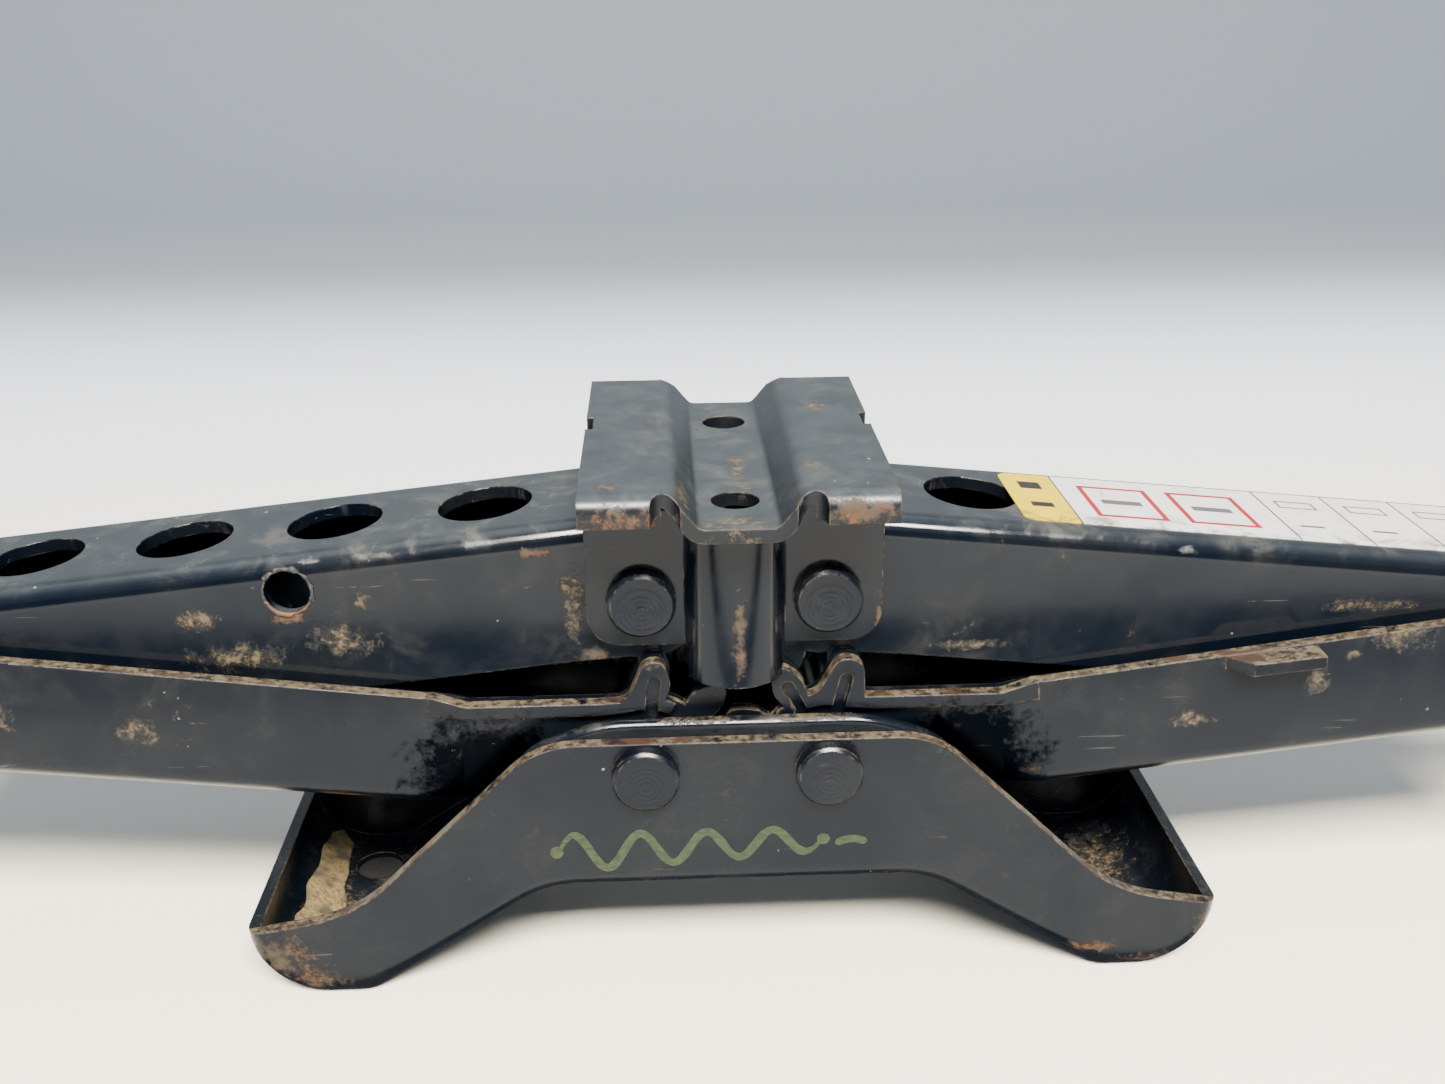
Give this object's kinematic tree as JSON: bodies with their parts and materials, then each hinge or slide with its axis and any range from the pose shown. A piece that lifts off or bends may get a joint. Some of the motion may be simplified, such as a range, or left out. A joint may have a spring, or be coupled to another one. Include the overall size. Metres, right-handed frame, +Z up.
{
  "type": "scissor car jack",
  "caption": "Pressed-steel scissor jack for a car: geared channel arms between a bow-shaped base and a grooved saddle, opened by a lead screw with a drive eye.",
  "frame": {"origin": "on the ground under the middle of the jack, between the two feet", "axes": "+X along the lead screw towards the drive eye, +Y to the back, +Z up"},
  "size_m": [0.4184, 0.074, 0.106],
  "materials": {
    "black_paint": "semi-gloss black paint, worn, with dried mud and rust",
    "pin_paint": "black-painted turned pin ends",
    "forged_steel": "black-painted forged block",
    "screw_steel": "greased bare steel",
    "zinc_steel": "dull zinc plate",
    "bearing_steel": "ground steel with grease",
    "label_film": "printed film with plain shapes and no text"
  },
  "bodies": {
    "base": {"base_pan": "black_paint", "base_stiffener_front": "black_paint", "base_stiffener_rear": "black_paint", "base_pin_left": "pin_paint", "base_pin_right": "pin_paint"},
    "lower_left": {"lower_arm_left": "black_paint"},
    "lower_right": {"lower_arm_right": "black_paint"},
    "upper_left": {"upper_arm_left": "black_paint"},
    "upper_right": {"upper_arm_right": "black_paint", "arm_label": "label_film"},
    "saddle": {"saddle_plate": "black_paint", "saddle_bracket": "black_paint", "saddle_pin_left": "pin_paint", "saddle_pin_right": "pin_paint"},
    "nut_knee": {"nut_trunnion": "forged_steel", "knee_spacers_left": "zinc_steel", "knee_washers_left": "zinc_steel", "knee_clips_left": "zinc_steel"},
    "thrust_knee": {"thrust_trunnion": "forged_steel", "knee_spacers_right": "zinc_steel", "knee_washers_right": "zinc_steel", "knee_clips_right": "zinc_steel", "bearing_race_fixed": "bearing_steel", "bearing_balls": "bearing_steel", "bearing_cage": "bearing_steel"},
    "screw": {"lead_screw": "screw_steel", "drive_eye": "screw_steel", "screw_stop_ring": "zinc_steel", "screw_stop_pin": "zinc_steel", "bearing_race_turning": "bearing_steel"}
  },
  "joints": [
    {"name": "lift", "type": "hinge", "parent": "base", "child": "lower_right", "pos_m": [0.017, 0, 0.048], "axis": [0, -1, 0], "range_deg": [0, 54]},
    {"name": "lift_left", "type": "hinge", "parent": "base", "child": "lower_left", "pos_m": [-0.017, 0, 0.048], "axis": [0, 1, 0], "range_deg": [0, 54]},
    {"name": "knee_fold_right", "type": "hinge", "parent": "lower_right", "child": "upper_right", "pos_m": [0.17117, 0, 0.064], "axis": [0, 1, 0], "range_deg": [0, 108]},
    {"name": "knee_fold_left", "type": "hinge", "parent": "lower_left", "child": "upper_left", "pos_m": [-0.17117, 0, 0.064], "axis": [0, -1, 0], "range_deg": [0, 108]},
    {"name": "saddle_level", "type": "hinge", "parent": "upper_right", "child": "saddle", "pos_m": [0.017, 0, 0.08], "axis": [0, -1, 0], "range_deg": [0, 54]},
    {"name": "nut_level", "type": "hinge", "parent": "lower_left", "child": "nut_knee", "pos_m": [-0.17117, 0, 0.064], "axis": [0, -1, 0], "range_deg": [0, 54]},
    {"name": "thrust_level", "type": "hinge", "parent": "lower_right", "child": "thrust_knee", "pos_m": [0.17117, 0, 0.064], "axis": [0, 1, 0], "range_deg": [0, 54]},
    {"name": "screw_turn", "type": "hinge", "parent": "thrust_knee", "child": "screw", "pos_m": [0.17117, 0, 0.064], "axis": [1, 0, 0], "continuous": true}
  ],
  "couplings": [
    {"joint": "lift_left", "follows": "lift", "ratio": 1},
    {"joint": "knee_fold_right", "follows": "lift", "ratio": 2},
    {"joint": "knee_fold_left", "follows": "lift", "ratio": 2},
    {"joint": "saddle_level", "follows": "lift", "ratio": 1},
    {"joint": "nut_level", "follows": "lift", "ratio": 1},
    {"joint": "thrust_level", "follows": "lift", "ratio": 1}
  ]
}
